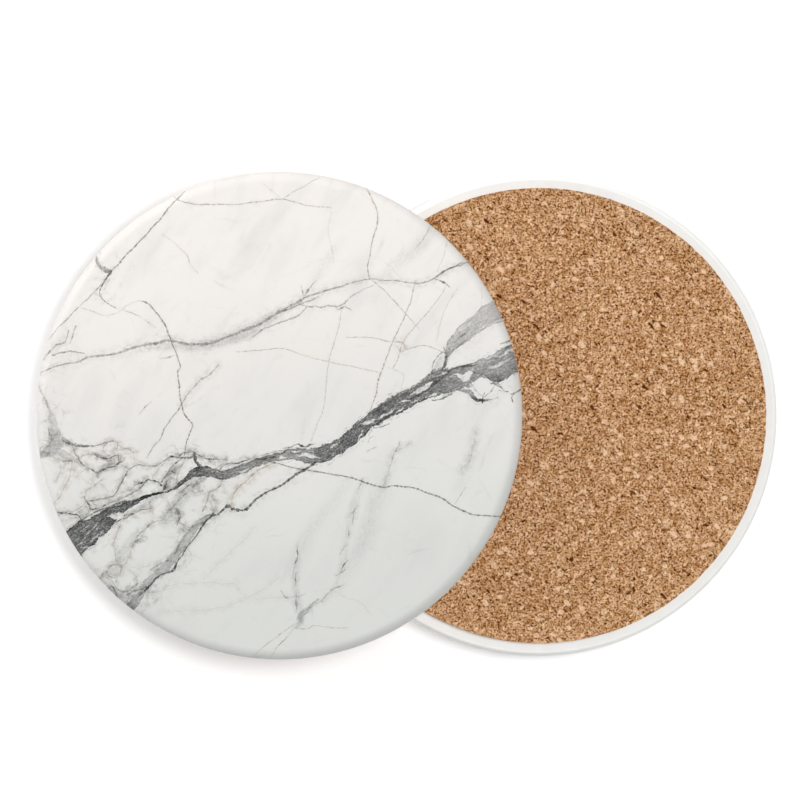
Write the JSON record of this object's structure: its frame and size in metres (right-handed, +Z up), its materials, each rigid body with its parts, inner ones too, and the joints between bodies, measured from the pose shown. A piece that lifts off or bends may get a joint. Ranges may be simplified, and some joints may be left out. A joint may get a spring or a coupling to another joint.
{
  "type": "drink coaster pair",
  "caption": "Round ceramic drink coasters with a glazed marble print and a cork base, laid overlapping so that both the printed face and the cork side show.",
  "frame": {"origin": "centre of the pair's outline, on the table", "axes": "+Z up, +X from the upper coaster to the lower one"},
  "size_m": [0.1572, 0.102, 0.0241],
  "materials": {
    "printed_glaze": "satin glaze over a grey marble print",
    "ceramic": "matte, unglazed white ceramic",
    "adhesive": "clear double-sided adhesive film",
    "cork": "bonded cork granules, cut and sanded"
  },
  "bodies": {
    "lower_coaster": {"lower_printed_glaze": "printed_glaze", "lower_ceramic_body": "ceramic", "lower_adhesive_film": "adhesive", "lower_cork_pad": "cork"},
    "upper_coaster": {"upper_cork_pad": "cork", "upper_adhesive_film": "adhesive", "upper_ceramic_body": "ceramic", "upper_printed_glaze": "printed_glaze"}
  },
  "joints": [
    {"name": "upper_lift", "type": "slide", "parent": "lower_coaster", "child": "upper_coaster", "axis": [0, 0, 1], "range_m": [0, 0.07]}
  ]
}
